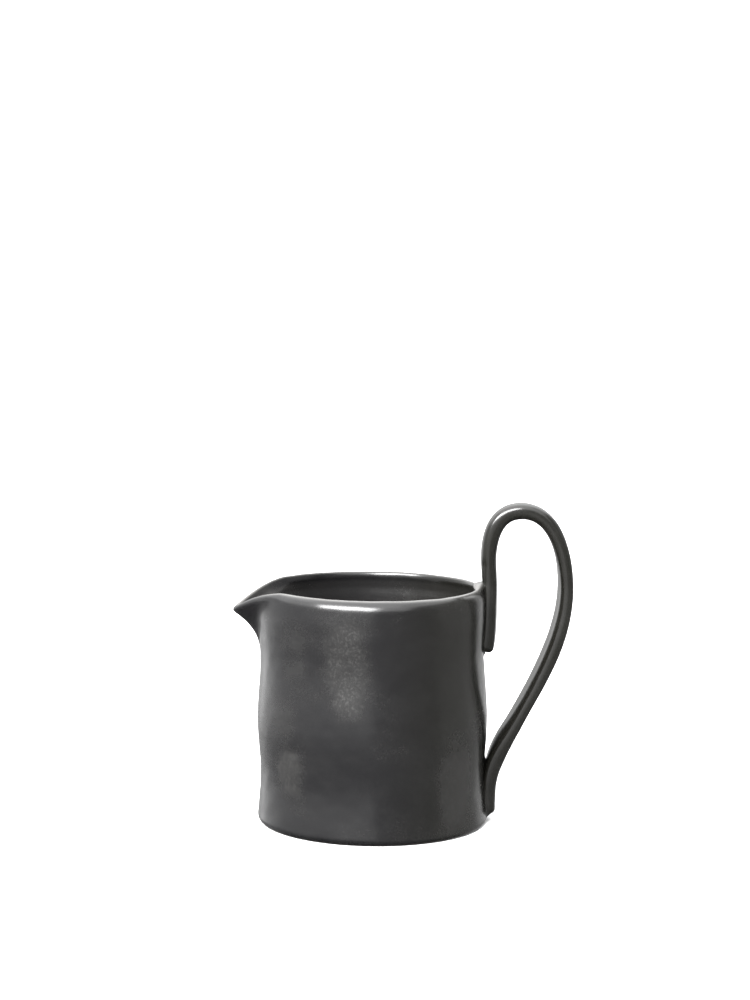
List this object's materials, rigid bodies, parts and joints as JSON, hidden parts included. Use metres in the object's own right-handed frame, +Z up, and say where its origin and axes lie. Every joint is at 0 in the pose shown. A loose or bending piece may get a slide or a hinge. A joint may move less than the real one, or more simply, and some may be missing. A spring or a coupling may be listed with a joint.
{
  "type": "milk jug",
  "caption": "Small hand-built ceramic milk jug: straight cup with a pinched V spout, and a thin coil handle that arches over the rim and joins the wall low down.",
  "frame": {"origin": "centre of the flat underside of the floor, where the jug's axis meets the table", "axes": "+Z up, +X from the cup towards the handle, so the spout points along -X; +Y across, away from the viewer of the picture"},
  "size_m": [0.1179, 0.08, 0.1119],
  "materials": {
    "glaze": "dark charcoal semi-gloss glaze, faintly clouded and speckled, lighter on the edges",
    "bare_clay": "dark stoneware, glazed on the edge and inside, wiped bare and matt on the underside"
  },
  "bodies": {
    "root": {"spouted_wall": "glaze", "floor_slab": "bare_clay", "floor_seam_coil": "glaze", "handle_coil": "glaze", "upper_handle_joint": "glaze", "lower_handle_joint": "glaze"}
  },
  "joints": []
}
